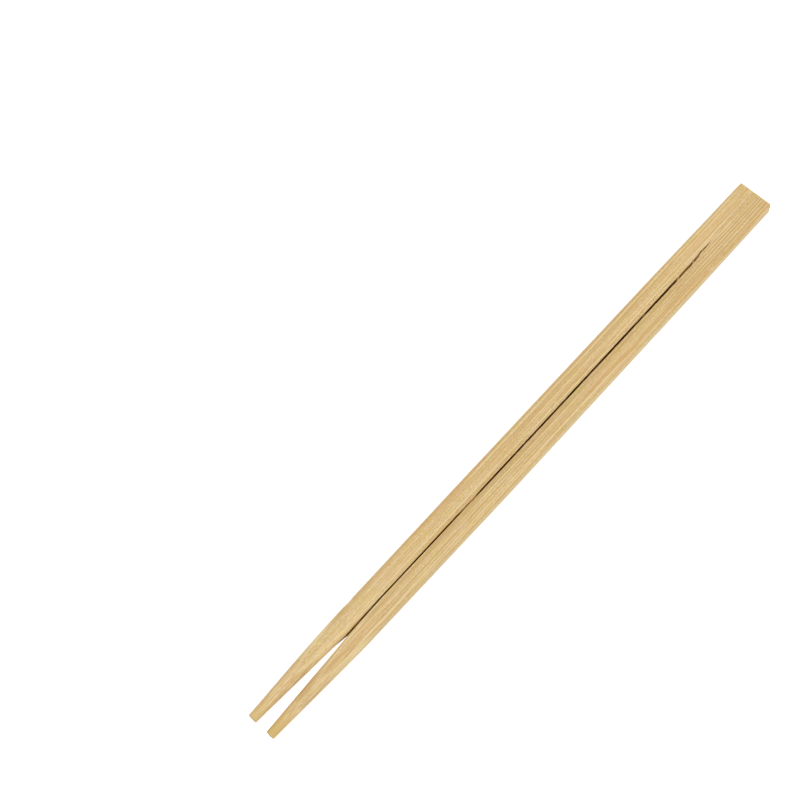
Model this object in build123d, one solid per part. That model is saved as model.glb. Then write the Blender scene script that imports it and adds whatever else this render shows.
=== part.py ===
from build123d import *
import os

# A pair of bamboo chopsticks made as one strip, still joined at the head.
# +X points to the joined head and +Z up. The origin is on the surface that the
# pair lies on, under the middle of the strip. The left stick is the one on +Y.

# The whole strip
length = 230.0
thickness = 4.5
head_width = 12.4
sprung_width = 12.9
sprung_from_head = 42.0
waist_from_head = 130.0

# Milled corners along the outer edges, and the broken edges of the two ends
head_bevel = 0.6
foot_bevel = 0.9
head_break = 0.3
tip_break = 0.2

# The split between the sticks: a natural crack that runs into a thin sawn kerf
crack_from_head = 23.5
crack_sway = 0.35
kerf_width = 0.55
kerf_foot_width = 0.4
kerf_offset = 0.1
pinch_from_head = 138.0
pinch_length = 6.0

# Each stick's foot: where its outer side would end, and its ground round tip
tip_length = 51.0
tip_diameter = 2.9
left_foot_half_width = 6.2
left_tip_offset = 3.75
left_tip_lean = 0.3
left_root_diameter = 7.5
left_tip_crown = 0.12
right_foot_half_width = 5.55
right_tip_offset = 3.2
right_tip_lean = 0.1
right_root_diameter = 7.4
right_tip_crown = 0.02

# How far the ground form runs on past its root, and how far cuts pass the solid
run_on_share = 0.45
overrun = 2.0

# The crack: share of its length, share of its sway, share of the kerf's width
crack_shares = [
    (0.0, 0.65, 0.0),
    (0.21, 0.95, 0.2),
    (0.32, 0.95, 0.4),
    (0.34, 0.25, 0.42),
    (0.52, 0.08, 0.18),
    (0.56, -0.02, 0.6),
    (0.97, -0.1, 0.75),
    (1.0, -0.25, 0.95),
]

# The pinch in the kerf: share of its length, of the kerf's offset and width
pinch_shares = [
    (0.0, -1.0, 0.9),
    (0.3, -1.2, 0.55),
    (0.42, -1.9, 0.3),
    (0.6, -1.8, 0.36),
    (0.7, -0.7, 0.75),
    (1.0, -0.6, 0.8),
]

head_x = length / 2
foot_x = -length / 2
stock_end = length + overrun


def strip_section(from_head, left_half, right_half, bevel):
    """The strip's eight-cornered section at a distance from the head."""
    corners = [
        (-right_half + bevel, 0),
        (left_half - bevel, 0),
        (left_half, bevel),
        (left_half, thickness - bevel),
        (left_half - bevel, thickness),
        (-right_half + bevel, thickness),
        (-right_half, thickness - bevel),
        (-right_half, bevel),
    ]
    place = Plane(origin=(head_x - from_head, 0, 0), x_dir=(0, 1, 0), z_dir=(1, 0, 0))
    return place * make_face(Polyline(*corners, close=True))


def bevel_at(from_head):
    return head_bevel + (foot_bevel - head_bevel) * from_head / length


def strip():
    """The milled strip before it is split, widest where the sticks spring apart."""
    half_head = head_width / 2
    half_sprung = sprung_width / 2
    sections = [
        strip_section(0, half_head, half_head, bevel_at(0)),
        strip_section(sprung_from_head, half_sprung, half_sprung, bevel_at(sprung_from_head)),
        strip_section(waist_from_head, half_sprung, half_sprung, bevel_at(waist_from_head)),
        strip_section(stock_end, left_foot_half_width, right_foot_half_width, bevel_at(length)),
    ]
    return loft(sections, ruled=True)


def split_course():
    """Stations of the split: distance from the head, middle line, width."""
    crack_length = sprung_from_head - crack_from_head
    stations = [
        (crack_from_head + along * crack_length, sway * crack_sway, wide * kerf_width)
        for along, sway, wide in crack_shares
    ]
    stations += [
        (pinch_from_head + along * pinch_length, shift * kerf_offset, wide * kerf_width)
        for along, shift, wide in pinch_shares
    ]
    stations.append((stock_end + overrun, 0, kerf_foot_width))
    return stations


def split():
    """The crack and the kerf as one cut through the thickness."""
    stations = split_course()
    left_edge = [(head_x - far, middle + wide / 2) for far, middle, wide in stations]
    right_edge = [(head_x - far, middle - wide / 2) for far, middle, wide in stations[1:]]
    outline = Polyline(*left_edge, *reversed(right_edge), close=True)
    cut = extrude(make_face(outline), thickness + 2 * overrun)
    return Pos(0, 0, -overrun) * cut


def ground_form(offset, lean, root_diameter, crown):
    """The round bullet that a tip is ground to, around its own leaning axis."""
    tip_radius = tip_diameter / 2
    root_radius = root_diameter / 2
    shoulder = (tip_radius, tip_break)
    middle = ((tip_radius + root_radius) / 2 + crown, tip_length / 2)
    flank = ThreePointArc(shoulder, middle, (root_radius, tip_length))
    run_on = run_on_share * tip_length
    root_tangent = flank % 1
    wide = (root_radius + run_on * root_tangent.X / root_tangent.Y, tip_length + run_on)
    ends = Polyline(flank @ 1, wide, (0, wide[1]), (0, 0), (tip_radius - tip_break, 0), shoulder)
    form = revolve(make_face(Plane.XZ * (flank + ends)), Axis.Z)
    foot = Vector(foot_x, offset, thickness / 2)
    root = Vector(foot_x + tip_length, offset - lean, thickness / 2)
    return Plane(origin=foot, z_dir=root - foot) * form


def tip_waste(side, offset, lean, root_diameter, crown):
    """What grinding takes off one stick's foot: all that lies outside its form."""
    reach = tip_length * (1 + run_on_share) - overrun
    block = Pos(foot_x - 2 * overrun, 0, -overrun) * Box(
        reach + 2 * overrun,
        sprung_width / 2 + overrun,
        thickness + 2 * overrun,
        align=(Align.MIN, Align.MIN if side > 0 else Align.MAX, Align.MIN),
    )
    return block - ground_form(side * offset, side * lean, root_diameter, crown)


def chopstick_pair():
    pair = strip() - split()
    pair -= tip_waste(1, left_tip_offset, left_tip_lean, left_root_diameter, left_tip_crown)
    pair -= tip_waste(-1, right_tip_offset, right_tip_lean, right_root_diameter, right_tip_crown)
    head_edges = pair.faces().sort_by(Axis.X)[-1].edges()
    return chamfer(head_edges, head_break)


os.makedirs("parts", exist_ok=True)
pair = chopstick_pair()
pair.label = "chopstick_pair"
export_step(pair, "parts/chopstick_pair.step")
print("chopstick_pair", round(pair.volume, 1), "mm3,", len(pair.solids()), "solid")
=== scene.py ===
import bpy
import math
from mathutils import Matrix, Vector


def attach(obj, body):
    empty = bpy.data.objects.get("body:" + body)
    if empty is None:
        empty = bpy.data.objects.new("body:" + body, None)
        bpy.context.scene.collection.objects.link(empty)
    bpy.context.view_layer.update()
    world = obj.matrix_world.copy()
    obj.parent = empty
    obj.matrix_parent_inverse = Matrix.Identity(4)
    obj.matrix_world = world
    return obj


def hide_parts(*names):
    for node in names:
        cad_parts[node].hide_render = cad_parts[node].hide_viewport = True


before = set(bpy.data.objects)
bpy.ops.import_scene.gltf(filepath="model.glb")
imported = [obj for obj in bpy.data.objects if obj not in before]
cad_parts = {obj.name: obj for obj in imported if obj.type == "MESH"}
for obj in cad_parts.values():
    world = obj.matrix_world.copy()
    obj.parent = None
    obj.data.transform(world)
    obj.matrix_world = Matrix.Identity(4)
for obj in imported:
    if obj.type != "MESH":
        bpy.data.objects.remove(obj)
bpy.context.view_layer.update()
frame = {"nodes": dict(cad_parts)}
mm = 0.001
print("frame loaded:", ", ".join(frame["nodes"]))


# A Wire is a node's output that can be written in a formula
class Wire:
    def __init__(self, tree, socket):
        self.tree = tree
        self.socket = socket

    def __add__(self, other):
        return mathNode(self.tree, "ADD", self, other)

    def __sub__(self, other):
        return mathNode(self.tree, "SUBTRACT", self, other)

    def __rsub__(self, other):
        return mathNode(self.tree, "SUBTRACT", other, self)

    def __mul__(self, other):
        return mathNode(self.tree, "MULTIPLY", self, other)

    def __truediv__(self, other):
        return mathNode(self.tree, "DIVIDE", self, other)


def plug(tree, slot, value):
    if isinstance(value, Wire):
        tree.links.new(value.socket, slot)
    else:
        slot.default_value = value


def addNode(tree, kind, inputs=None, out=0, **settings):
    node = tree.nodes.new(kind)
    for name, value in settings.items():
        setattr(node, name, value)
    for name, value in (inputs or {}).items():
        plug(tree, node.inputs[name], value)
    return Wire(tree, node.outputs[out])


def mathNode(tree, operation, *values):
    inputs = dict(enumerate(values))
    return addNode(tree, "ShaderNodeMath", inputs, operation=operation)


def ramp(tree, value, start, end, smooth=False):
    # 0 up to start, 1 from end on
    shape = "SMOOTHSTEP" if smooth else "LINEAR"
    inputs = {"Value": value, "From Min": start, "From Max": end}
    return addNode(tree, "ShaderNodeMapRange", inputs, interpolation_type=shape)


def blend(first, second, share):
    return first + (second - first) * share


def combine(tree, x, y, z):
    return addNode(tree, "ShaderNodeCombineXYZ", {"X": x, "Y": y, "Z": z})


def separate(tree, vector):
    node = tree.nodes.new("ShaderNodeSeparateXYZ")
    plug(tree, node.inputs[0], vector)
    return [Wire(tree, socket) for socket in node.outputs]


def noiseNode(tree, vector, detail=2.0, roughness=0.5):
    inputs = {"Vector": vector, "Scale": 1.0, "Detail": detail, "Roughness": roughness}
    return addNode(tree, "ShaderNodeTexNoise", inputs)


def stretch(tree, place, sizes, shift=0.0):
    # divides a place by a pattern's sizes along X, Y and Z; the shift picks another part of it
    x, y, z = [axis * (1 / size) for axis, size in zip(place, sizes)]
    return combine(tree, x, y + shift if shift else y, z)


def courseNode(tree, share, points):
    # a value that follows straight lines between the points
    node = tree.nodes.new("ShaderNodeFloatCurve")
    node.mapping.use_clip = False
    line = node.mapping.curves[0]
    line.points[0].location = points[0]
    line.points[-1].location = points[-1]
    for place, height in points[1:-1]:
        line.points.new(place, height)
    for point in line.points:
        point.handle_type = "VECTOR"
    node.mapping.update()
    plug(tree, node.inputs["Value"], share)
    return Wire(tree, node.outputs[0])


def newGroup(name, kind, inputs, outputs):
    tree = bpy.data.node_groups.new(name, kind)
    for label, value in inputs.items():
        if isinstance(value, str):
            sort = value
        elif isinstance(value, tuple):
            sort = "NodeSocketColor"
        elif isinstance(value, int):
            sort = "NodeSocketInt"
        else:
            sort = "NodeSocketFloat"
        socket = tree.interface.new_socket(name=label, in_out="INPUT", socket_type=sort)
        if sort != value:
            socket.default_value = value
    for label, sort in outputs.items():
        tree.interface.new_socket(name=label, in_out="OUTPUT", socket_type=sort)
    source = tree.nodes.new("NodeGroupInput")
    sink = tree.nodes.new("NodeGroupOutput")
    wires = {label: Wire(tree, source.outputs[label]) for label in inputs}
    return tree, wires, sink


def useGroup(tree, group, values):
    node = tree.nodes.new("ShaderNodeGroup")
    node.node_tree = group
    for label, value in values.items():
        plug(tree, node.inputs[label], value)
    return {socket.name: Wire(tree, socket) for socket in node.outputs}


def mixColour(tree, share, first, second):
    node = tree.nodes.new("ShaderNodeMix")
    node.data_type = "RGBA"
    plug(tree, node.inputs[0], share)
    plug(tree, node.inputs[6], first)
    plug(tree, node.inputs[7], second)
    return Wire(tree, node.outputs[2])


def newMaterial(name):
    material = bpy.data.materials.new(name)
    material.use_nodes = True
    tree = material.node_tree
    place = Wire(tree, tree.nodes.new("ShaderNodeTexCoord").outputs["Object"])
    return material, tree, tree.nodes["Principled BSDF"], place


# The camera stands as the photograph's did: high up, over the tips and to the right of them
view = {
    "lookAt": (-13.85 * mm, 38.55 * mm, 0.0),
    "distance": 486.2 * mm,
    "elevation": 67.626,
    "turn": 48.021,  # degrees between the strip and the picture's right
    "lens": 71.062,
    "sensor": 36.0,
}


def makeCamera():
    turn = math.radians(view["turn"])
    rise = math.radians(view["elevation"])
    away = Vector((math.sin(turn), math.cos(turn), 0))
    back = Vector((0, 0, math.sin(rise))) - away * math.cos(rise)
    data = bpy.data.cameras.new("productCamera")
    data.lens = view["lens"]
    data.sensor_width = view["sensor"]
    data.sensor_fit = "HORIZONTAL"
    data.clip_start = 0.01
    camera = bpy.data.objects.new("productCamera", data)
    camera.location = Vector(view["lookAt"]) + back * view["distance"]
    camera.rotation_euler = (-back).to_track_quat("-Z", "Y").to_euler()
    bpy.context.scene.collection.objects.link(camera)
    bpy.context.scene.camera = camera


# White table and room. The strongest lamp is at the lower right of the picture, one hangs
# high up, and a weak one is at the upper left.
studio = {
    "roomLight": 0.50,
    "floorSide": 6.0,
    "floorColour": (0.80, 0.80, 0.80, 1),
    "floorRoughness": 0.9,
    "floorGloss": 0.1,
    # the table's own glow, which only the camera and reflections see
    "floorLift": 0.55,
    "forkLift": 0.88,  # between the tips
    "farLift": 1.0,
    "farSpan": (0.3, 1.5),
    "besideKerf": (1 * mm, 4 * mm),
    "pastHead": (90 * mm, 100 * mm),
    "forkX": -79.15 * mm,
    "forkBlur": 0.15 * mm,
    # painted shade on the table under the kerf, which lets no white light down
    "kerfShadeColour": (0.20, 0.09, 0.02, 1),
    "kerfSpan": (1.5 * mm, 1 * mm),
    # the left foot's painted shadow has a straight edge on the table
    "footShadowTilt": 0.125,
    "footShadowPlace": -9.46 * mm,
    "footShadowBlur": 0.06 * mm,
    "footShadowEnd": -82.5 * mm,
    "footShadowFade": 2.5 * mm,
    "lamps": {
        # name: turn from the picture's right, height angle, distance, side, power
        "keySoftbox": (-50.0, 60.0, 1.3, 0.9, 5.8),
        "topSoftbox": (100.0, 78.0, 1.4, 1.0, 3.6),
        "fillSoftbox": (140.0, 42.0, 1.4, 1.0, 1.8),
    },
}


def makeRoom(scene):
    world = bpy.data.worlds.new("whiteRoom")
    world.use_nodes = True
    tree = world.node_tree
    seen = tree.nodes.new("ShaderNodeLightPath").outputs["Is Camera Ray"]
    strength = Wire(tree, seen) * (1.0 - studio["roomLight"]) + studio["roomLight"]
    background = tree.nodes["Background"]
    background.inputs["Color"].default_value = (1, 1, 1, 1)
    plug(tree, background.inputs["Strength"], strength)
    scene.world = world


def makeTableMaterial():
    material, tree, shader, place = newMaterial("paleTable")
    shader.inputs["Roughness"].default_value = studio["floorRoughness"]
    shader.inputs["Specular IOR Level"].default_value = studio["floorGloss"]
    shader.inputs["Emission Color"].default_value = (1, 1, 1, 1)
    path = tree.nodes.new("ShaderNodeLightPath")
    seen = [Wire(tree, path.outputs[kind]) for kind in ("Is Camera Ray", "Is Glossy Ray")]
    lift = mathNode(tree, "MAXIMUM", *seen)

    x, y = separate(tree, place)[:2]
    fromMiddle = mathNode(tree, "ABSOLUTE", y)
    besideKerf = ramp(tree, fromMiddle, *studio["besideKerf"])
    pastHead = ramp(tree, x, *studio["pastHead"])
    fork = studio["forkX"]
    pastFork = ramp(tree, x, fork + studio["forkBlur"], fork - studio["forkBlur"])
    # painted shadow of the left foot: it takes away the glow by the fork and lets the kerf's
    # painted shade reach there
    overEdge = y + x * studio["footShadowTilt"] - studio["footShadowPlace"]
    footShadowMask = ramp(tree, overEdge, -studio["footShadowBlur"], studio["footShadowBlur"])
    shadowEnd = studio["footShadowEnd"]
    footShadowMask = footShadowMask * ramp(tree, x, shadowEnd - studio["footShadowFade"], shadowEnd)
    pastFork = pastFork * (1.0 - footShadowMask)

    # painted shade: the table under the kerf is coloured dark brown up to the fork and where the
    # foot's painted shadow lies
    kerfShadeShare = ramp(tree, fromMiddle, *studio["kerfSpan"]) * (1.0 - pastFork) * (1.0 - pastHead)
    colour = mixColour(tree, kerfShadeShare, studio["floorColour"], studio["kerfShadeColour"])
    plug(tree, shader.inputs["Base Color"], colour)
    glow = mathNode(tree, "MAXIMUM", besideKerf, pastHead) * studio["floorLift"]
    glow = mathNode(tree, "MAXIMUM", glow, pastFork * (1.0 - besideKerf) * studio["forkLift"])
    far = ramp(tree, mathNode(tree, "SQRT", x * x + y * y), *studio["farSpan"])
    plug(tree, shader.inputs["Emission Strength"], lift * blend(glow, studio["farLift"], far))
    return material


def makeTable(scene):
    half = studio["floorSide"] / 2
    mesh = bpy.data.meshes.new("table")
    corners = [(-half, -half, 0), (half, -half, 0), (half, half, 0), (-half, half, 0)]
    mesh.from_pydata(corners, [], [(0, 1, 2, 3)])
    mesh.materials.append(makeTableMaterial())
    floor = bpy.data.objects.new("table", mesh)
    scene.collection.objects.link(floor)


def makeLamps(scene):
    for name, (turn, height, distance, side, power) in studio["lamps"].items():
        angle = math.radians(turn - view["turn"])
        rise = math.radians(height)
        out = math.cos(rise)
        ray = Vector((math.cos(angle) * out, math.sin(angle) * out, math.sin(rise)))
        data = bpy.data.lights.new(name, "AREA")
        data.shape = "SQUARE"
        data.size = side
        data.energy = power
        lamp = bpy.data.objects.new(name, data)
        lamp.location = ray * distance
        lamp.rotation_euler = (-ray).to_track_quat("-Z", "Y").to_euler()
        scene.collection.objects.link(lamp)


def makeStudio():
    scene = bpy.context.scene
    scene.view_settings.view_transform = "Standard"
    makeRoom(scene)
    makeTable(scene)
    makeLamps(scene)


makeCamera()
makeStudio()
print("camera, table and lamps made")


# Bamboo tones, shared by every material
tones = {
    "ground": (0.715, 0.518, 0.234, 1),
    "light": (0.890, 0.700, 0.365, 1),
    "pale": (0.960, 0.800, 0.480, 1),
    "dark": (0.540, 0.350, 0.125, 1),
    "warm": (0.640, 0.330, 0.095, 1),
    "olive": (0.600, 0.450, 0.180, 1),
    "rosy": (0.750, 0.520, 0.290, 1),
    "straw": (0.700, 0.510, 0.165, 1),
    "brown": (0.360, 0.160, 0.015, 1),
    # painted shade for the inside of the split
    "splitShade": (0.120, 0.032, 0.001, 1),
}


grainMasks = ("Vessels", "Fibres", "Flecks", "Drift", "Hue", "Blush", "Speckle")

# Sizes along the strip, across it and through it, and what counts as filled or as a fleck
grainSizes = {
    "sway": (60 * mm, 6 * mm, 6 * mm),
    "swayReach": 0.35 * mm,
    "rowHeight": 0.9 * mm,
    "rowLift": 0.15,
    "rowUnevenness": 0.3,
    "filled": (0.32, 0.62),
    "vesselEdge": (0.08, 0.23),
    "fleckEdge": (0.60, 0.74),
    "speckle": (0.45 * mm, 0.26 * mm, 0.26 * mm),
    "drift": (140 * mm, 1.9 * mm, 3 * mm),
    "hue": (30 * mm, 0.5 * mm, 0.7 * mm),
    "blush": (4 * mm, 0.6 * mm, 0.6 * mm),
}


def makeGrainGroup():
    # rows of vessels, fine fibres, short flecks and a slow drift of tone, all along X
    inputs = {
        "Place": "NodeSocketVector",
        "Vessel Pitch": 0.88 * mm,
        "Vessel Shift": -0.21,  # of the pitch, so that the rows lie as they do on the top face
        "Vessel Length": 45 * mm,
        "Fibre Size": 0.24 * mm,
        "Fibre Length": 85 * mm,
        "Fleck Size": 0.24 * mm,
        "Fleck Length": 2.6 * mm,
    }
    outputs = {label: "NodeSocketFloat" for label in grainMasks}
    tree, take, sink = newGroup("bambooGrain", "ShaderNodeTree", inputs, outputs)
    x, y, z = separate(tree, take["Place"])
    sway = noiseNode(tree, stretch(tree, (x, y, z), grainSizes["sway"]), detail=1.0)
    across = y + (sway - 0.5) * grainSizes["swayReach"]
    swayed = (x, across, z)

    perRow = 1 / grainSizes["rowHeight"]
    rowPlace = across / take["Vessel Pitch"] + take["Vessel Shift"]
    rows = {
        "Vector": combine(tree, rowPlace, z * perRow + grainSizes["rowLift"], 0.0),
        "Scale": 1.0,
        "Randomness": grainSizes["rowUnevenness"],
    }
    near = addNode(tree, "ShaderNodeTexVoronoi", rows, voronoi_dimensions="2D")
    stretches = combine(tree, x / take["Vessel Length"], y * perRow, z * perRow)
    filled = ramp(tree, noiseNode(tree, stretches, detail=1.0), *grainSizes["filled"])
    vessels = (1.0 - ramp(tree, near, *grainSizes["vesselEdge"], smooth=True)) * filled

    size = take["Fibre Size"]
    lines = combine(tree, x / take["Fibre Length"], across / size, z / size)
    fibres = noiseNode(tree, lines, detail=3.0, roughness=0.62)
    size = take["Fleck Size"]
    dashes = combine(tree, x / take["Fleck Length"], across / size, z / size)
    flecks = noiseNode(tree, dashes, detail=1.0)
    flecks = ramp(tree, flecks, *grainSizes["fleckEdge"], smooth=True)

    speckle = noiseNode(tree, stretch(tree, swayed, grainSizes["speckle"]), roughness=0.6)
    drift = noiseNode(tree, stretch(tree, swayed, grainSizes["drift"]))
    hue = noiseNode(tree, stretch(tree, swayed, grainSizes["hue"], shift=40.0))
    blush = noiseNode(tree, stretch(tree, swayed, grainSizes["blush"], shift=70.0))

    for label, value in zip(grainMasks, (vessels, fibres, flecks, drift, hue, blush, speckle)):
        plug(tree, sink.inputs[label], value)
    return tree


# How much each part of the grain counts in the tone
toneShares = {
    "fibres": 3.6,
    "drift": 2.0,
    "speckle": 6.8,
    "vessels": 1.15,
    "flecks": 0.40,
    "hue": 0.9,
    "blush": 0.8,
}


def makeToneGroup():
    # turns the grain's masks into a colour
    inputs = {label: "NodeSocketFloat" for label in grainMasks}
    for name in ("ground", "light", "dark", "warm", "olive", "rosy", "straw"):
        inputs[name.capitalize()] = tones[name]
    inputs["Contrast"] = 1.0
    outputs = {"Colour": "NodeSocketColor"}
    tree, take, sink = newGroup("bambooTone", "ShaderNodeTree", inputs, outputs)
    fine = (take["Fibres"] - 0.5) * toneShares["fibres"]
    broad = (take["Drift"] - 0.5) * toneShares["drift"]
    grit = (take["Speckle"] - 0.5) * toneShares["speckle"]
    tone = (fine + broad + grit) * take["Contrast"]
    hue = take["Hue"]
    blush = take["Blush"]
    layers = [
        (ramp(tree, tone, 0.0, 0.6), "Light"),
        (ramp(tree, tone, 0.0, -0.6), "Dark"),
        (take["Vessels"] * take["Contrast"] * toneShares["vessels"], "Warm"),
        (take["Flecks"] * take["Contrast"] * toneShares["flecks"], "Dark"),
        (ramp(tree, hue, 0.50, 0.78) * toneShares["hue"], "Warm"),
        (ramp(tree, hue, 0.50, 0.22) * toneShares["hue"], "Olive"),
        (ramp(tree, blush, 0.50, 0.72) * toneShares["blush"], "Rosy"),
        (ramp(tree, blush, 0.50, 0.28) * toneShares["blush"], "Straw"),
    ]
    colour = take["Ground"]
    for share, label in layers:
        colour = mixColour(tree, share, colour, take[label])
    plug(tree, sink.inputs["Colour"], colour)
    return tree


# How a fibre line fades, from its start and from its end, and its core's share of its width
lineFades = {
    "start": (-2 * mm, 5 * mm),
    "end": (3 * mm, -5 * mm),
    "core": 0.2,
}


def makeLineGroup():
    # a long fibre bundle in the top face runs from one place across to another
    inputs = {
        "From Head": 0.0,
        "Across": 0.0,
        "Start": 10 * mm,
        "End": 50 * mm,
        "First Place": 0.0,
        "Last Place": 0.0,
        "Half Width": 0.20 * mm,
        "Strength": 0.5,
    }
    outputs = {"Mask": "NodeSocketFloat"}
    tree, take, sink = newGroup("fibreLine", "ShaderNodeTree", inputs, outputs)
    fromHead = take["From Head"]
    first, last = [take["Start"] + fade for fade in lineFades["start"]]
    starts = ramp(tree, fromHead, first, last, smooth=True)
    first, last = [take["End"] + fade for fade in lineFades["end"]]
    stops = ramp(tree, fromHead, first, last, smooth=True)
    share = ramp(tree, fromHead, take["Start"], take["End"])
    place = blend(take["First Place"], take["Last Place"], share)
    gap = mathNode(tree, "ABSOLUTE", take["Across"] - place)
    width = take["Half Width"]
    width = ramp(tree, gap, width, width * lineFades["core"], smooth=True)
    plug(tree, sink.inputs["Mask"], starts * stops * width * take["Strength"])
    return tree


# The strip, in the sizes that it was built to, with crisper edges and a finer split
pairSizes = {
    "length": 230 * mm,
    "thickness": 4.5 * mm,
    "headWidth": 12.4 * mm,
    "sprungWidth": 12.9 * mm,
    "sprungFromHead": 42 * mm,
    "waistFromHead": 130 * mm,
    "headBevel": 0.55 * mm,
    "footBevel": 0.9 * mm,
    "headBreak": 0.10 * mm,
    "cornerLength": 0.9 * mm,
    "tipBreak": 0.08 * mm,
    "crackFromHead": 23.5 * mm,
    "crackSway": 0.35 * mm,
    "kerfWidth": 0.55 * mm,
    "kerfFootWidth": 0.30 * mm,
    "kerfFootShift": 0.46 * mm,
    "kerfOffset": 0.1 * mm,
    "pinchFromHead": 135.5 * mm,
    "pinchLength": 11.5 * mm,
    "tipLength": 51 * mm,
    "tipDiameter": 2.9 * mm,
    "stockOverrun": 2 * mm,
    "tornDepth": 0.10 * mm,
    "relief": 0.035 * mm,
    "crispAngle": math.radians(32),
    "lipWidth": 0.16 * mm,
    "brinkWidth": 0.22 * mm,
    "rings": 350,
    "capRings": 6,
    "topSteps": 40,
    "bevelSteps": 6,
    "sideSteps": 22,
}

stickSizes = {
    "left": {
        "side": 1.0,
        "footHalfWidth": 6.2 * mm,
        "tipOffset": 3.75 * mm,
        "tipLean": 0.3 * mm,
        "rootDiameter": 7.5 * mm,
        "tipCrown": 0.12 * mm,
        "cornerBreak": 0.04 * mm,
        "bevelLoss": 0.40 * mm,
        "chipFromHead": 187 * mm,
        "chipLength": 3.5 * mm,
        "chipDepth": 0.16 * mm,
    },
    "right": {
        "side": -1.0,
        "footHalfWidth": 5.55 * mm,
        "tipOffset": 3.2 * mm,
        "tipLean": 0.1 * mm,
        "rootDiameter": 7.4 * mm,
        "tipCrown": 0.02 * mm,
        "cornerBreak": 0.45 * mm,
        "bevelLoss": 0.25 * mm,
        "chipFromHead": 31 * mm,
        "chipLength": 3.6 * mm,
        "chipDepth": 0.30 * mm,
    },
}

# How the wood is torn, worn and ground, beyond the sizes above
pairWear = {
    "bevelGrowth": 12 * mm,  # the bevels are full from here on
    "crackGrain": (2.2 * mm, 1.0, 1.6 * mm),
    "wallGrain": (1.1 * mm, 1.0, 0.7 * mm),
    "tornSpan": (0.95, 1.15),  # shares of the length where the crack turns into the kerf
    "openShare": 0.4,  # of the kerf's width, from which the walls are fully ragged
    "chipSpan": (0.5, 0.1),  # of the chip's length, from its middle
    "chipReach": (1.6, 0.5),  # of the bevel, from the corner
    "chipDrop": 0.8,
    "wobble": 0.05 * mm,  # of the ground form
    "wobbleGrain": (9 * mm, 3 * mm, 3 * mm),
    "wobbleGrowth": 4 * mm,
    "groundShare": 0.985,  # drawn in this far, a point is ground for certain
    "brinkSpan": (12 * mm, 30 * mm),
    "ridgeGrain": (30 * mm, 0.8 * mm, 0.8 * mm),
    "chatterGrain": (2.5 * mm, 4 * mm, 4 * mm),
    "same": 0.001 * mm,  # points this near are one
}

# The crack and the pinch in the kerf, as shares of their length, sway and width
splitCourses = {
    "crackSway": [
        (0, 0.85), (0.21, 0.95), (0.3, 1), (0.35, 0.4), (0.41, 0.13),
        (0.46, -0.04), (0.52, -0.1), (0.62, -0.3), (0.75, -0.2), (1, -0.25),
    ],
    "crackOpen": [
        (0, 0), (0.08, 0.27), (0.24, 0.4), (0.3, 0.36), (0.35, 0.58), (0.46, 0.64),
        (0.52, 0.58), (0.58, 0.76), (0.79, 0.8), (0.88, 0.6), (0.97, 0.8), (1, 1.1),
    ],
    "pinchShift": [(0, -1), (0.35, -1.3), (0.55, -1.1), (1, -0.6)],
    "pinchOpen": [
        (0, 0.90), (0.2, 0.68), (0.38, 0.52), (0.5, 0.60), (0.68, 0.58), (0.82, 0.74), (1, 0.84),
    ],
}

# Share of the rings against share of the length: they crowd at the ends, the crack and the pinch
ringCourse = [
    (0, 0), (0.03, 0.012), (0.075, 0.098), (0.33, 0.196), (0.58, 0.585),
    (0.67, 0.645), (0.74, 0.74), (0.97, 0.988), (1, 1),
]

# what the split's course needs
splitSizes = (
    "length",
    "thickness",
    "sprungFromHead",
    "crackFromHead",
    "crackSway",
    "kerfWidth",
    "kerfFootWidth",
    "kerfFootShift",
    "kerfOffset",
    "pinchFromHead",
    "pinchLength",
)


def splitCourse(tree, size, fromHead):
    # the split's middle line and opening at a distance from the head
    inCrack = ramp(tree, fromHead, size["crackFromHead"], size["sprungFromHead"])
    pinchEnd = size["pinchFromHead"] + size["pinchLength"]
    inPinch = ramp(tree, fromHead, size["pinchFromHead"], pinchEnd)
    toPinch = ramp(tree, fromHead, size["sprungFromHead"], size["pinchFromHead"])
    toFoot = ramp(tree, fromHead, pinchEnd, size["length"])
    crackMiddle = courseNode(tree, inCrack, splitCourses["crackSway"]) * size["crackSway"]
    crackOpen = courseNode(tree, inCrack, splitCourses["crackOpen"]) * size["kerfWidth"]
    pinchMiddle = courseNode(tree, inPinch, splitCourses["pinchShift"]) * size["kerfOffset"]
    pinchOpen = courseNode(tree, inPinch, splitCourses["pinchOpen"]) * size["kerfWidth"]
    middle = blend(crackMiddle, pinchMiddle, toPinch) * (1.0 - toFoot)
    middle = middle + size["kerfFootShift"] * toFoot * toFoot
    opening = blend(blend(crackOpen, pinchOpen, toPinch), size["kerfFootWidth"], toFoot)
    return middle, opening


def storeValue(tree, geometry, name, value):
    inputs = {"Geometry": geometry, "Name": name, "Value": value}
    kind = "GeometryNodeStoreNamedAttribute"
    return addNode(tree, kind, inputs, data_type="FLOAT", domain="POINT")


def readValue(tree, name):
    return addNode(tree, "GeometryNodeInputNamedAttribute", {"Name": name}, data_type="FLOAT")


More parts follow.
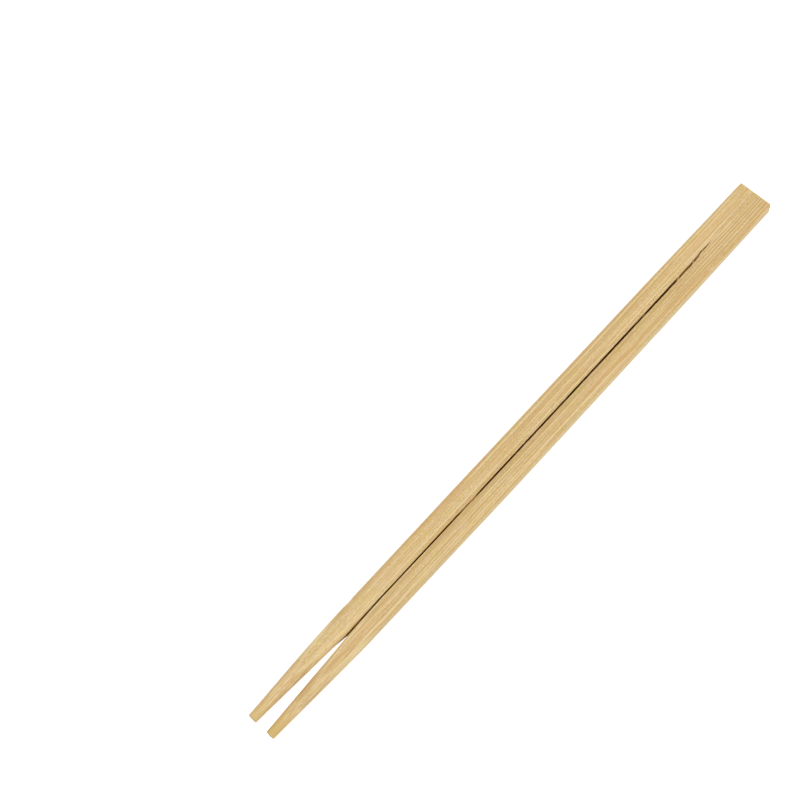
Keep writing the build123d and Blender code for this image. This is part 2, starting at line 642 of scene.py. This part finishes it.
def stickShell(tree, size, own):
    # one stick as a grid: rings along it, columns round its section
    side = own["side"]
    around = size["topSteps"] * 2.0 + size["bevelSteps"] * 2.0 + size["sideSteps"] * 2.0
    counts = {
        "Size X": size["rings"] * 1.0,
        "Size Y": around,
        "Vertices X": size["rings"] + 1.0,
        "Vertices Y": around + 1.0,
    }
    grid = addNode(tree, "GeometryNodeMeshGrid", counts)
    gridX, gridY = separate(tree, addNode(tree, "GeometryNodeInputPosition"))[:2]
    ring = mathNode(tree, "ROUND", gridX + size["rings"] * 0.5)
    column = mathNode(tree, "ROUND", gridY + around * 0.5)

    # caps at both ends, then one ring step for each broken edge
    caps = size["capRings"] * 1.0
    lastRing = size["rings"] - caps
    headCap = ramp(tree, ring, 0.0, caps)
    tipCap = ramp(tree, size["rings"] - ring, 0.0, caps)
    capShare = mathNode(tree, "MINIMUM", headCap, tipCap)
    pastHeadBreak = ramp(tree, ring, caps, caps + 1.0)
    pastTipBreak = ramp(tree, ring, lastRing - 1.0, lastRing)
    bodyShare = courseNode(tree, ramp(tree, ring, caps + 1.0, lastRing - 1.0), ringCourse)
    bodyLength = size["length"] - size["headBreak"] - size["tipBreak"]
    tipInset = size["tipBreak"] * pastTipBreak
    fromHead = size["headBreak"] * pastHeadBreak + bodyLength * bodyShare + tipInset
    fromFoot = size["length"] - fromHead
    headInset = size["headBreak"] * (1.0 - pastHeadBreak)

    # the outer side and its bevel
    sprungHalf = size["sprungWidth"] * 0.5
    toSprung = ramp(tree, fromHead, 0.0, size["sprungFromHead"])
    pastWaist = ramp(tree, fromHead, size["waistFromHead"], size["length"] + size["stockOverrun"])
    half = blend(size["headWidth"] * 0.5, sprungHalf, toSprung)
    half = blend(half, own["footHalfWidth"], pastWaist)
    bevel = blend(size["headBevel"], size["footBevel"], fromHead / size["length"])
    bevel = bevel - own["bevelLoss"] * ramp(tree, fromHead, pairWear["bevelGrowth"], 0.0)
    top = size["thickness"] - headInset
    bottom = headInset

    # walk round the section: top, bevel, side, bevel, bottom, inner wall
    ends = [0.0]
    for steps in ("topSteps", "bevelSteps", "sideSteps", "bevelSteps", "topSteps", "sideSteps"):
        ends.append(size[steps] * 1.0 + ends[-1])
    legs = [ramp(tree, column, ends[i], ends[i + 1]) for i in range(6)]
    tall = top - bottom
    height = top - (legs[1] + legs[3]) * bevel - legs[2] * (tall - bevel * 2.0) + legs[5] * tall

    # the head's corner is worn off, most at the top
    worn = own["cornerBreak"] * ramp(tree, fromHead, size["cornerLength"], 0.0)
    worn = worn * (height / size["thickness"])
    outer = half - headInset - worn

    # the split's wall wanders with the depth and is torn where it is a crack
    middle, opening = splitCourse(tree, size, fromHead)
    first, last = [size["sprungFromHead"] * share for share in pairWear["tornSpan"]]
    torn = 1.0 - ramp(tree, fromHead, first, last)
    crackPlace = stretch(tree, (fromHead, 0.0, height), pairWear["crackGrain"])
    wander = (noiseNode(tree, crackPlace) - 0.5) * size["tornDepth"] * (torn * 3.0 + 0.15)
    wallPlace = stretch(tree, (fromHead, side * 7.0, height), pairWear["wallGrain"])
    opened = ramp(tree, opening, 0.0, size["kerfWidth"] * pairWear["openShare"])
    ragged = noiseNode(tree, wallPlace) * size["tornDepth"] * opened * (torn + 0.2)
    inner = (middle + wander) * side + opening * 0.5 + ragged
    topRun = outer - bevel - inner
    across = inner + topRun * (legs[0] - legs[4]) + bevel * (legs[1] - legs[3])

    lipGap = mathNode(tree, "MINIMUM", legs[0], 1.0 - legs[4]) * topRun
    lip = ramp(tree, lipGap, size["lipWidth"], 0.0) * opened

    # a chip is out of the upper outer edge
    toSide = outer - across
    toTop = top - height
    cornerGap = mathNode(tree, "SQRT", toSide * toSide + toTop * toTop)
    chipSpan = mathNode(tree, "ABSOLUTE", fromHead - own["chipFromHead"])
    first, last = [own["chipLength"] * share for share in pairWear["chipSpan"]]
    chip = ramp(tree, chipSpan, first, last, smooth=True)
    first, last = [bevel * share for share in pairWear["chipReach"]]
    chip = chip * ramp(tree, cornerGap, first, last, smooth=True)
    across = across - chip * own["chipDepth"]
    height = height - chip * own["chipDepth"] * pairWear["chipDrop"]

    # grind the foot round, about its leaning axis
    toRoot = fromFoot / size["tipLength"]
    rootShare = ramp(tree, toRoot, 0.0, 1.0)
    pastRoot = mathNode(tree, "MAXIMUM", toRoot - 1.0, 0.0)
    axis = own["tipOffset"] - own["tipLean"] * rootShare
    tipRadius = size["tipDiameter"] * 0.5
    rootRadius = own["rootDiameter"] * 0.5
    crown = own["tipCrown"] * 4.0
    radius = blend(tipRadius, rootRadius, rootShare) + crown * rootShare * (1.0 - rootShare)
    radius = radius + (rootRadius - tipRadius - crown) * pastRoot - tipInset
    wobblePlace = stretch(tree, (fromHead, across, height), pairWear["wobbleGrain"])
    wobble = noiseNode(tree, wobblePlace, detail=1.0) * pairWear["wobble"]
    radius = radius - wobble * ramp(tree, fromFoot, 0.0, pairWear["wobbleGrowth"])
    middleHeight = size["thickness"] * 0.5
    offAcross = across - axis
    offHeight = height - middleHeight
    reach = mathNode(tree, "SQRT", offAcross * offAcross + offHeight * offHeight)
    keep = mathNode(tree, "MINIMUM", radius / reach, 1.0)
    scale = keep * capShare
    sideways = (axis + offAcross * scale) * side
    upright = middleHeight + offHeight * scale

    # the brink is the crease where the ground form meets the flat faces; the milled colour
    # lightens it, partly as a painted highlight and partly as pale torn fibres
    cutDepth = mathNode(tree, "ABSOLUTE", reach - radius)
    brink = ramp(tree, cutDepth, size["brinkWidth"], 0.0, smooth=True)
    marks = {
        "ground": ramp(tree, keep, 1.0, pairWear["groundShare"]),
        "lip": lip,
        "brink": brink * ramp(tree, fromFoot, *pairWear["brinkSpan"]),
        "fresh": chip,
        "cap": 1.0 - capShare,
        "wall": column - ends[5],
        "opening": opening,
    }
    shell = grid
    for name, value in marks.items():
        shell = storeValue(tree, shell, name, value)
    place = combine(tree, size["length"] * 0.5 - fromHead, sideways, upright)
    return addNode(tree, "GeometryNodeSetPosition", {"Geometry": shell, "Position": place})


def inputName(stick, name):
    return stick + name[0].upper() + name[1:]


def makePairTree(materials):
    inputs = {"Geometry": "NodeSocketGeometry", **pairSizes}
    for stick, own in stickSizes.items():
        inputs.update({inputName(stick, name): value for name, value in own.items()})
    outputs = {"Geometry": "NodeSocketGeometry"}
    tree, size, sink = newGroup("bambooPairShape", "GeometryNodeTree", inputs, outputs)

    join = tree.nodes.new("GeometryNodeJoinGeometry")
    for stick, own in stickSizes.items():
        wires = {name: size[inputName(stick, name)] for name in own}
        shell = stickShell(tree, size, wires)
        if own["side"] > 0:
            shell = addNode(tree, "GeometryNodeFlipFaces", {"Mesh": shell})
        tree.links.new(shell.socket, join.inputs[0])

    # no wall where the split hasn't begun: the two sticks are one there
    onWall = mathNode(tree, "GREATER_THAN", readValue(tree, "wall"), 0.0)
    onCap = mathNode(tree, "GREATER_THAN", readValue(tree, "cap"), 0.0)
    closed = mathNode(tree, "LESS_THAN", readValue(tree, "opening"), pairWear["same"])
    unsplit = onWall * closed * (1.0 - onCap)
    inside = {"Geometry": Wire(tree, join.outputs[0]), "Selection": unsplit}
    pair = addNode(tree, "GeometryNodeDeleteGeometry", inside, domain="FACE")
    touching = {"Geometry": pair, "Distance": pairWear["same"]}
    pair = addNode(tree, "GeometryNodeMergeByDistance", touching)

    # fine ridges left by the cutter and the harder fibres, always inwards
    place = separate(tree, addNode(tree, "GeometryNodeInputPosition"))
    ridges = noiseNode(tree, stretch(tree, place, pairWear["ridgeGrain"]))
    chatter = noiseNode(tree, stretch(tree, place, pairWear["chatterGrain"]), detail=1.0)
    depth = (ridges * 0.8 + chatter * 0.2) * size["relief"]
    normal = addNode(tree, "GeometryNodeInputNormal")
    pressed = {0: normal, "Scale": depth * -1.0}
    inwards = addNode(tree, "ShaderNodeVectorMath", pressed, operation="SCALE")
    pair = addNode(tree, "GeometryNodeSetPosition", {"Geometry": pair, "Offset": inwards})

    pair = addNode(tree, "GeometryNodeSetShadeSmooth", {"Geometry": pair})
    angle = addNode(tree, "GeometryNodeInputMeshEdgeAngle")
    crisp = mathNode(tree, "GREATER_THAN", angle, size["crispAngle"])
    edges = {"Geometry": pair, "Selection": crisp, "Shade Smooth": False}
    pair = addNode(tree, "GeometryNodeSetShadeSmooth", edges, domain="EDGE")
    pair = addNode(tree, "GeometryNodeRealizeInstances", {"Geometry": pair})
    sawn = mathNode(tree, "LESS_THAN", readValue(tree, "ground"), 0.5)
    coats = [("milled", True), ("wall", onWall * sawn * (1.0 - onCap)), ("end", onCap)]
    for name, faces in coats:
        coat = {"Geometry": pair, "Material": materials[name], "Selection": faces}
        pair = addNode(tree, "GeometryNodeSetMaterial", coat)
    plug(tree, sink.inputs["Geometry"], pair)
    return tree, inputs


def shapeByTree(name, tree, values, start=None):
    # runs the tree and keeps the result as a plain mesh
    piece = bpy.data.objects.new(name, start or bpy.data.meshes.new(name + "Start"))
    bpy.context.scene.collection.objects.link(piece)
    modifier = piece.modifiers.new(name + "Shape", "NODES")
    modifier.node_group = tree
    for socket in tree.interface.items_tree:
        value = values.get(socket.name)
        if socket.in_out == "INPUT" and isinstance(value, (int, float)):
            modifier[socket.identifier] = value
    graph = bpy.context.evaluated_depsgraph_get()
    mesh = bpy.data.meshes.new_from_object(piece.evaluated_get(graph))
    piece.modifiers.remove(modifier)
    piece.data = mesh
    mesh.name = name
    return piece


# Long fibre lines in the top face, in mm. Each kind has its tone and half width, and each
# line its start and end from the head, its place across at both, and its strength. A start
# just before the head lets a line run out over the end.
fibreLines = {
    "lightBands": ("light", 0.9, [
        (44, 84, 1.95, 2.05, 0.16),
        (124, 206, 1.90, 2.00, 0.22),
        (98, 118, 2.45, 2.35, 0.20),
        (50, 84, -3.25, -3.35, 0.14),
        (150, 206, -2.45, -2.45, 0.22),
        (160, 206, -4.30, -4.30, 0.26),
    ]),
    "warmBands": ("warm", 1.0, [
        (0, 46, 2.35, 2.25, 0.26),
        (20, 46, 4.25, 4.20, 0.28),
        (66, 100, 1.90, 1.90, 0.16),
        (48, 100, 5.30, 5.30, 0.20),
        (104, 134, 3.00, 2.95, 0.16),
        (40, 152, 4.00, 3.70, 0.22),
        (148, 176, 3.20, 3.20, 0.22),
        (30, 196, 6.10, 5.90, 0.30),
        (135, 196, 5.25, 5.15, 0.26),
        (80, 178, -5.25, -5.20, 0.12),
    ]),
    "darkBands": ("dark", 0.9, [
        (74, 132, -2.20, -2.20, 0.22),
        (52, 126, -3.73, -3.78, 0.18),
        (148, 206, -1.50, -1.50, 0.18),
        (174, 206, -1.20, -1.10, 0.24),
        (200, 215, -3.20, -3.20, 0.26),
    ]),
    "lightLines": ("light", 0.20, [
        (4, 137, 5.33, 5.03, 0.90),
        (4, 50, 4.36, 4.15, 0.56),
        (4, 36, 3.54, 3.34, 0.48),
        (34, 113, 2.84, 3.00, 0.62),
        (38, 75, 1.72, 1.63, 1.00),
        (72, 113, 0.83, 1.06, 0.96),
        (112, 206, 1.43, 1.60, 0.65),
        (0, 10, -5.90, -5.85, 0.90),
        (34, 78, -5.12, -5.08, 0.64),
        (74, 150, -4.94, -4.66, 1.00),
        (148, 206, -4.56, -5.12, 1.00),
        (112, 172, -5.58, -5.28, 0.72),
        (90, 140, -2.18, -2.00, 0.72),
        (-4, 40, -2.78, -2.80, 0.75),
        (-4, 36, -3.80, -3.76, 0.60),
        (-2, 32, -1.87, -1.87, 0.85),
        (0, 30, -0.98, -0.98, 0.70),
        (-4, 24, -4.92, -4.94, 0.70),
        (52, 98, -3.25, -3.10, 0.40),
        (165, 200, -5.75, -5.65, 0.60),
    ]),
    "paleLines": ("pale", 0.17, [
        (11, 37, 1.48, 1.42, 0.90),
        (21, 37, 0.98, 0.90, 0.80),
        (26, 30, 0.72, 0.66, 0.80),
        (20, 23, 0.48, 0.42, 0.90),
        (31, 36, 1.80, 1.50, 0.60),
        (9, 23, -0.14, -0.12, 0.85),
        (24, 29, -0.25, -0.30, 0.50),
    ]),
    "darkLines": ("dark", 0.18, [
        (4, 19, 0.69, 0.75, 0.72),
        (-2, 36, -1.42, -1.32, 0.50),
        (-4, 50, -2.32, -2.43, 0.64),
        (-4, 30, -4.52, -4.55, 0.60),
        (-4, 54, -3.22, -3.30, 0.60),
        (36, 95, -1.25, -1.33, 1.00),
        (93, 204, -1.16, -0.90, 1.00),
        (93, 168, -1.72, -1.48, 0.88),
        (36, 152, 4.58, 4.60, 0.80),
        (34, 118, 4.28, 4.20, 0.55),
        (34, 118, 3.90, 3.82, 0.55),
        (70, 122, 2.75, 2.62, 0.45),
        (0, 27, 2.25, 2.10, 0.60),
        (93, 137, 3.45, 3.42, 0.56),
        (93, 190, -3.57, -3.25, 0.72),
        (95, 115, -5.42, -5.40, 0.72),
        (168, 206, -3.90, -4.25, 0.80),
        (166, 200, 5.20, 5.10, 1.00),
        (149, 156, -2.05, -2.00, 1.00),
        (60, 124, -2.72, -2.72, 0.32),
    ]),
    "warmLines": ("warm", 0.16, [
        (-5, 24, -5.33, -5.38, 1.00),
        (34, 76, -4.66, -4.61, 1.00),
        (22, 94, -4.06, -3.90, 1.00),
    ]),
}

surface = {
    "milledRoughness": 0.52,
    "groundRoughness": 0.60,
    "wallRoughness": 0.85,
    "wallGloss": 0.08,
    "lipDepth": 0.5 * mm,
    "shadeFadeX": (20 * mm, -75 * mm),
    "endRoughness": 0.75,
    "bumpDepth": 0.03 * mm,
}

# Where the milled faces change their tone or get painted light or shade. The last letter of a
# name is the axis.
milledSpans = {
    "fewVesselsY": (1.2 * mm, -0.5 * mm),
    "headX": (55 * mm, 85 * mm),
    "rightY": (1 * mm, -2 * mm),
    "outerEdgeY": (-5.7 * mm, -6.2 * mm),
    "leftY": (-1 * mm, 2 * mm),
    "belowHeadX": (78 * mm, 62 * mm),
    "aboveFootX": (-60 * mm, -46 * mm),
    "lowZ": (1.8 * mm, 0.4 * mm),
    "rightStickY": (-0.5 * mm, -1.0 * mm),
    "footTopX": (-55 * mm, -76 * mm),
    "forkX": (-96 * mm, -88 * mm),
    "footX": (-80 * mm, -86 * mm),
    "footEndX": (-106 * mm, -101 * mm),
    "tipX": (-104 * mm, -115 * mm),
    "warmTipX": (-102 * mm, -109 * mm),
    "stainedHeadX": (70 * mm, 80 * mm),
    "stainedFootX": (-45 * mm, -65 * mm),
}

# Sizes of the milled faces' own patterns, along X, Y and Z
milledSizes = {
    "wander": (16 * mm, 3 * mm, 1.0),
    "wanderReach": 0.22 * mm,
    "broken": (7 * mm, 0.5 * mm, 1.0),
    "streaks": (16 * mm, 0.30 * mm, 0.60 * mm),
    "hairs": (8 * mm, 0.17 * mm, 0.35 * mm),
    "lineDepth": (1.1 * mm, 0.2 * mm),  # below the top face
    "plainDepth": (0.3 * mm, 0.1 * mm),
}


def readMask(tree, name):
    return addNode(tree, "ShaderNodeAttribute", out=2, attribute_name=name)


def addBump(tree, height, strength=1.0):
    inputs = {"Height": height, "Distance": surface["bumpDepth"], "Strength": strength}
    return addNode(tree, "ShaderNodeBump", inputs)


def makeMilledMaterial(grain, tone, line):
    material, tree, shader, place = newMaterial("milledBamboo")
    fibre = useGroup(tree, grain, {"Place": place})
    x, y, z = separate(tree, place)

    def span(name):
        axis = {"X": x, "Y": y, "Z": z}[name[-1]]
        return ramp(tree, axis, *milledSpans[name])

    # the left stick shows fewer vessels, and the grain is plainer under the top face's lines
    top = pairSizes["thickness"]
    first, last = [top - depth for depth in milledSizes["plainDepth"]]
    masks = {label: fibre[label] for label in grainMasks}
    masks["Vessels"] = fibre["Vessels"] * (span("fewVesselsY") * 0.55 + 0.45)
    masks["Contrast"] = ramp(tree, z, first, last) * -0.15 + 1.0
    colour = useGroup(tree, tone, masks)["Colour"]

    wander = noiseNode(tree, stretch(tree, (x, y, 0.0), milledSizes["wander"]), detail=1.0)
    broken = noiseNode(tree, stretch(tree, (x, y, 3.0), milledSizes["broken"]), detail=1.0)
    first, last = [top - depth for depth in milledSizes["lineDepth"]]
    inTop = ramp(tree, z, first, last)
    for lineTone, halfWidth, lines in fibreLines.values():
        total = 0.0
        for start, end, first, last, strength in lines:
            values = {
                "From Head": pairSizes["length"] / 2 - x,
                "Across": y + (wander - 0.5) * milledSizes["wanderReach"],
                "Start": start * mm,
                "End": end * mm,
                "First Place": first * mm,
                "Last Place": last * mm,
                "Half Width": halfWidth * mm,
                "Strength": strength,
            }
            total = useGroup(tree, line, values)["Mask"] + total
        total = total * inTop * ramp(tree, broken, 0.10, 0.45)
        colour = mixColour(tree, total, colour, tones[lineTone])

    ground = readMask(tree, "ground")
    onRight = span("rightStickY")
    midway = span("belowHeadX") * span("aboveFootX")
    streaked = mathNode(tree, "MAXIMUM", ground, onRight * span("footTopX") * 0.55)
    streaks = noiseNode(tree, stretch(tree, (x, y, z), milledSizes["streaks"], shift=9.0))
    hairPlace = stretch(tree, (x, y, z), milledSizes["hairs"], shift=31.0)
    hairs = noiseNode(tree, hairPlace, detail=1.0)
    normal = Wire(tree, tree.nodes.new("ShaderNodeNewGeometry").outputs["Normal"])
    facing = separate(tree, normal)[1]
    shadedLeftFlank = ramp(tree, facing, -0.05, 0.35) * ramp(tree, facing, 0.98, 0.75)
    steep = ramp(tree, mathNode(tree, "ABSOLUTE", facing), 0.2, 0.7)
    byFork = span("forkX")
    nearFoot = span("footX") * span("footEndX")
    tipEnd = ramp(tree, x, *milledSpans["tipX"], smooth=True)
    grit = ramp(tree, fibre["Speckle"], 0.52, 0.75)
    # the lips along the split are browner by the crack near the head and towards the foot
    lipShare = span("stainedHeadX") * 0.42 + span("stainedFootX") * 0.35 + 0.30
    layers = [
        # where, how much, tone; each lies over the one before
        (span("rightY") * span("headX"), 0.10, "warm"),
        # painted light on the right stick's outer bevel and side
        (span("outerEdgeY"), 0.30, "light"),
        (span("leftY"), 0.10 - midway * 0.08, "light"),
        # painted shade: darker towards the bottom of the faces
        (span("lowZ"), 0.15, "dark"),
        # streaks and hairs on the ground tips, and fainter on the right foot's top
        (streaked * ramp(tree, streaks, 0.50, 0.57), 0.86, "warm"),
        (streaked * ramp(tree, streaks, 0.48, 0.42), 0.76, "light"),
        (streaked * ramp(tree, hairs, 0.50, 0.60), 0.70, "dark"),
        (streaked * ramp(tree, hairs, 0.48, 0.38), 0.45, "pale"),
        # painted shade makes the flank on the left of each tip warmer and darker, and painted
        # light makes both flanks paler by the fork, where the other stick shades them
        (ground * shadedLeftFlank * (1.0 - byFork), 0.26, "warm"),
        (ground * steep * byFork, 0.85, "light"),
        (ground, 0.20, "light"),
        (ground * fibre["Flecks"], 0.8, "warm"),
        (ground * grit, 0.6, "pale"),
        # partly a painted highlight on the crease of the ground form, partly pale torn fibres
        (readMask(tree, "brink"), fibre["Speckle"] + 0.3, "light"),
        (tipEnd, onRight * 0.30 + 0.50, "straw"),
        (ground * onRight * nearFoot, 0.22, "dark"),
        (span("warmTipX") * onRight, 0.16, "warm"),
        # fresh wood in the chips, and brown lips along the split
        (readMask(tree, "fresh"), 0.5, "light"),
        (readMask(tree, "lip") * (1.0 - ground), lipShare, "brown"),
    ]
    for where, share, name in layers:
        colour = mixColour(tree, where * share, colour, tones[name])
    plug(tree, shader.inputs["Base Color"], colour)

    rougher = surface["groundRoughness"] - surface["milledRoughness"]
    rough = ground * rougher + surface["milledRoughness"]
    plug(tree, shader.inputs["Roughness"], rough + (fibre["Fibres"] - 0.5) * 0.2)
    height = fibre["Fibres"] + fibre["Vessels"] * 0.3 - fibre["Flecks"] * 0.4
    plug(tree, shader.inputs["Normal"], addBump(tree, height, 0.6))
    return material


def makeWallMaterial(grain):
    # the inside of the split: painted shade, brown at its lips and darker below them, least at
    # the tips
    material, tree, shader, place = newMaterial("splitWall")
    fibre = useGroup(tree, grain, {"Place": place})
    x, y, z = separate(tree, place)
    fromFace = mathNode(tree, "MINIMUM", z, pairSizes["thickness"] - z)
    shadeDepth = ramp(tree, fromFace, 0.0, surface["lipDepth"], smooth=True)
    towardsTips = ramp(tree, x, *surface["shadeFadeX"])
    share = fibre["Fibres"] * 0.5 + towardsTips * 0.5
    colour = mixColour(tree, share, tones["splitShade"], tones["brown"])
    colour = mixColour(tree, shadeDepth, tones["brown"], colour)
    plug(tree, shader.inputs["Base Color"], colour)
    shader.inputs["Roughness"].default_value = surface["wallRoughness"]
    shader.inputs["Specular IOR Level"].default_value = surface["wallGloss"]
    plug(tree, shader.inputs["Normal"], addBump(tree, fibre["Fibres"]))
    return material


def makeEndMaterial(grain, tone):
    # cut ends: the vessels show as brown dots
    material, tree, shader, place = newMaterial("endGrain")
    fibre = useGroup(tree, grain, {"Place": place, "Fibre Size": 0.18 * mm})
    colour = useGroup(tree, tone, {label: fibre[label] for label in grainMasks})["Colour"]
    colour = mixColour(tree, fibre["Vessels"] * 0.6, colour, tones["warm"])
    plug(tree, shader.inputs["Base Color"], colour)
    shader.inputs["Roughness"].default_value = surface["endRoughness"]
    plug(tree, shader.inputs["Normal"], addBump(tree, fibre["Fibres"] - fibre["Vessels"]))
    return material


def makeFibreMaterial(grain):
    # pale where it is freshly torn, with painted shade that makes it browner deep in the split
    material, tree, shader, place = newMaterial("tornFibre")
    fibre = useGroup(tree, grain, {"Place": place})
    z = separate(tree, place)[2]
    top = pairSizes["thickness"]
    shadeDepth = ramp(tree, z, top, top - 0.8 * mm)
    colour = mixColour(tree, fibre["Fibres"], tones["warm"], tones["ground"])
    colour = mixColour(tree, shadeDepth, colour, tones["brown"])
    plug(tree, shader.inputs["Base Color"], colour)
    plug(tree, shader.inputs["Roughness"], fibre["Speckle"] * 0.3 + 0.5)
    return material


grain = makeGrainGroup()
tone = makeToneGroup()
line = makeLineGroup()
materials = {
    "milled": makeMilledMaterial(grain, tone, line),
    "wall": makeWallMaterial(grain),
    "end": makeEndMaterial(grain, tone),
    "fibre": makeFibreMaterial(grain),
}
print("materials made:", ", ".join(material.name for material in materials.values()))


def randomNode(tree, spread, seed):
    low, high = spread
    inputs = {2: low, 3: high, 8: seed}
    return addNode(tree, "FunctionNodeRandomValue", inputs, out=1, data_type="FLOAT")


# Torn fibres in the split: a few placed bridges, and fuzz that thins out from the crack on
fibreSizes = {
    "fuzzCount": 150,
    "fuzzLength": 1.9 * mm,
    "fuzzRadius": 0.035 * mm,
    "fuzzDepth": 1.3 * mm,
    "fuzzFirst": 24 * mm,
    "fuzzLast": 190 * mm,
    "fibreSteps": 6,
    "fibreSides": 5,
    "bend": 2.2,
    "seed": 11,
}

# From the least to the most, as shares of the sizes above; the lean is in radians
fuzzSpread = {
    "depth": (0.06, 1.0),
    "lean": (0.03, 0.22),
    "length": (0.4, 1.2),
    "radius": (0.6, 1.3),
}

# from the head, across, below the top, turn in degrees, length, radius, all in mm
fibreBridges = [
    (27.9, 0.32, 0.10, 24, 1.5, 0.09),
    (29.0, 0.30, 0.45, -12, 2.2, 0.07),
    (33.1, 0.02, 0.10, 28, 1.6, 0.11),
    (34.0, 0.02, 0.55, -15, 2.4, 0.07),
    (40.8, -0.06, 0.12, 18, 2.6, 0.11),
    (88.0, -0.08, 0.70, 14, 2.6, 0.06),
    (138.4, -0.12, 0.40, -5, 3.2, 0.09),
    (140.6, -0.13, 0.35, 5, 3.6, 0.09),
    (142.9, -0.10, 0.42, -5, 3.0, 0.08),
    (171.0, -0.05, 0.80, -13, 2.4, 0.06),
]


def makeFibreTree(material):
    inputs = {"Geometry": "NodeSocketGeometry", **fibreSizes}
    inputs.update({name: pairSizes[name] for name in splitSizes})
    outputs = {"Geometry": "NodeSocketGeometry"}
    tree, size, sink = newGroup("splitFibres", "GeometryNodeTree", inputs, outputs)

    # one fibre: a thin spindle along X with a slight bow
    ends = {"Start": (-0.5, 0, 0), "End": (0.5, 0, 0)}
    straight = addNode(tree, "GeometryNodeCurvePrimitiveLine", ends)
    steps = {"Curve": straight, "Count": size["fibreSteps"]}
    straight = addNode(tree, "GeometryNodeResampleCurve", steps)
    x = separate(tree, addNode(tree, "GeometryNodeInputPosition"))[0]
    bent = {"Geometry": straight, "Offset": combine(tree, 0.0, x * x * size["bend"], 0.0)}
    bow = addNode(tree, "GeometryNodeSetPosition", bent)
    taper = 1.0 - x * x * 3.2
    bow = addNode(tree, "GeometryNodeSetCurveRadius", {"Curve": bow, "Radius": taper})
    circle = {"Resolution": size["fibreSides"], "Radius": 1.0}
    ring = addNode(tree, "GeometryNodeCurvePrimitiveCircle", circle)
    swept = {"Curve": bow, "Profile Curve": ring, "Fill Caps": True}
    fibre = addNode(tree, "GeometryNodeCurveToMesh", swept)

    # fuzz starts on either wall and leans towards the other
    def draw(spread, number):
        return randomNode(tree, spread, size["seed"] + number if number else size["seed"])

    share = draw((0.0, 1.0), 0)
    fromHead = blend(size["fuzzFirst"], size["fuzzLast"], share * share * share)
    middle, opening = splitCourse(tree, size, fromHead)
    wallSide = mathNode(tree, "SIGN", draw((-1.0, 1.0), 1.0))
    endSide = mathNode(tree, "SIGN", draw((-1.0, 1.0), 2.0))
    depth = draw(fuzzSpread["depth"], 3.0) * size["fuzzDepth"]
    across = middle + wallSide * opening * 0.40
    place = combine(tree, size["length"] * 0.5 - fromHead, across, size["thickness"] - depth)
    fuzz = addNode(tree, "GeometryNodeMeshLine", {"Count": size["fuzzCount"]})
    fuzz = addNode(tree, "GeometryNodeMeshToPoints", {"Mesh": fuzz, "Position": place})
    marks = {
        "turn": draw(fuzzSpread["lean"], 4.0) * wallSide * endSide,
        "reach": draw(fuzzSpread["length"], 5.0) * size["fuzzLength"],
        "thick": draw(fuzzSpread["radius"], 6.0) * size["fuzzRadius"],
    }
    for name, value in marks.items():
        fuzz = storeValue(tree, fuzz, name, value)

    join = tree.nodes.new("GeometryNodeJoinGeometry")
    tree.links.new(fuzz.socket, join.inputs[0])
    bridges = addNode(tree, "GeometryNodeMeshToPoints", {"Mesh": size["Geometry"]})
    tree.links.new(bridges.socket, join.inputs[0])
    thick = readValue(tree, "thick")
    copies = {
        "Points": Wire(tree, join.outputs[0]),
        "Instance": fibre,
        "Rotation": combine(tree, 0.0, 0.0, readValue(tree, "turn")),
        "Scale": combine(tree, readValue(tree, "reach"), thick, thick * 0.8),
    }
    placed = addNode(tree, "GeometryNodeInstanceOnPoints", copies)
    placed = addNode(tree, "GeometryNodeRealizeInstances", {"Geometry": placed})
    placed = addNode(tree, "GeometryNodeSetShadeSmooth", {"Geometry": placed})
    placed = addNode(tree, "GeometryNodeSetMaterial", {"Geometry": placed, "Material": material})
    plug(tree, sink.inputs["Geometry"], placed)
    return tree, inputs


def bridgePoints():
    half = pairSizes["length"] / 2
    top = pairSizes["thickness"]
    points = []
    marks = {"turn": [], "reach": [], "thick": []}
    for far, across, below, turn, length, radius in fibreBridges:
        points.append((half - far * mm, across * mm, top - below * mm))
        marks["turn"].append(math.radians(turn))
        marks["reach"].append(length * mm)
        marks["thick"].append(radius * mm)
    mesh = bpy.data.meshes.new("bridgePoints")
    mesh.from_pydata(points, [], [])
    for name, values in marks.items():
        mesh.attributes.new(name, "FLOAT", "POINT").data.foreach_set("value", values)
    return mesh


pairTree, pairValues = makePairTree(materials)
bambooPair = shapeByTree("bambooPair", pairTree, pairValues)
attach(bambooPair, "root")
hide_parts("chopstick_pair")
print("bambooPair:", len(bambooPair.data.polygons), "faces")

fibreTree, fibreValues = makeFibreTree(materials["fibre"])
tornFibres = shapeByTree("tornFibres", fibreTree, fibreValues, bridgePoints())
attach(tornFibres, "root")
print("tornFibres:", len(tornFibres.data.polygons), "faces")
